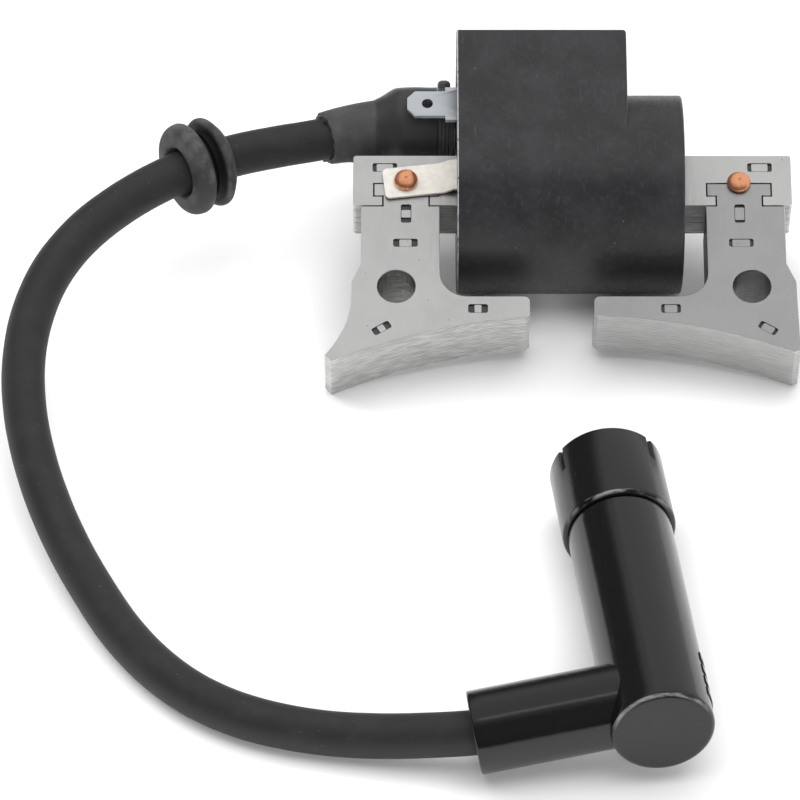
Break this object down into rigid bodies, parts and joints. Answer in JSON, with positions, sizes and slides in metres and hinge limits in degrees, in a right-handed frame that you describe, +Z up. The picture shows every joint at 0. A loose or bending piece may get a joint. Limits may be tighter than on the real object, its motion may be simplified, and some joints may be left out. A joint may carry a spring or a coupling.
{
  "type": "ignition coil",
  "caption": "Small-engine ignition coil: a potted black coil case on a laminated two-foot steel core, with a rubber lead, a panel grommet and a right-angle spark-plug boot.",
  "frame": {"origin": "middle of the coil's own footprint on the bench, without the lead and what is on it", "axes": "+X along the core bar towards the foot without a flare, +Z up from the bench, +Y from the flywheel feet towards the case's box; the coil lies rolled 17.2 degrees about X on its round case"},
  "size_m": [0.129, 0.1441, 0.0386],
  "materials": {
    "case_plastic": "satin",
    "resin": "satin",
    "core_steel": "satin",
    "rivet_copper": "satin",
    "tinned_strap": "satin",
    "terminal_metal": "satin",
    "bobbin_plastic": "matte",
    "winding_copper": "satin",
    "board": "satin",
    "chip_plastic": "satin",
    "capacitor_plastic": "satin",
    "ceramic": "matte",
    "brass": "satin",
    "spring_steel": "polished",
    "sleeve_rubber": "matte",
    "lead_rubber": "matte",
    "grommet_rubber": "matte",
    "boot_plastic": "gloss",
    "skirt_rubber": "gloss"
  },
  "bodies": {
    "coil": {"case_shell": "case_plastic", "potting_resin": "resin", "core_bar": "core_steel", "left_pole_shoe": "core_steel", "right_pole_shoe": "core_steel", "left_core_rivet": "rivet_copper", "right_core_rivet": "rivet_copper", "ground_strap": "tinned_strap", "stop_terminal": "terminal_metal", "primary_bobbin": "bobbin_plastic", "primary_winding": "winding_copper", "secondary_bobbin": "bobbin_plastic", "secondary_winding_1": "winding_copper", "secondary_winding_2": "winding_copper", "secondary_winding_3": "winding_copper", "secondary_winding_4": "winding_copper", "trigger_board": "board", "power_transistor": "chip_plastic", "trigger_chip": "chip_plastic", "board_capacitor": "capacitor_plastic", "base_resistor": "ceramic", "bias_resistor": "ceramic", "outlet_tower": "case_plastic", "outlet_spike": "brass", "shrink_sleeve": "sleeve_rubber", "high_tension_lead": "lead_rubber"},
    "grommet": {"lead_grommet": "grommet_rubber"},
    "boot": {"boot_body": "boot_plastic", "boot_skirt": "skirt_rubber", "plug_socket": "brass", "suppressor_resistor": "ceramic", "contact_spring": "spring_steel", "lead_screw": "brass"}
  },
  "joints": [
    {"name": "grommet_slide", "type": "slide", "parent": "coil", "child": "grommet", "axis": [-0.8429, -0.5321, 0.08], "range_m": [-0.003, 0.003]},
    {"name": "boot_swivel", "type": "hinge", "parent": "coil", "child": "boot", "pos_m": [-0.01517, -0.10841, 0.00675], "axis": [0.9811, 0.124, 0.1486], "range_deg": [0, 180]}
  ]
}
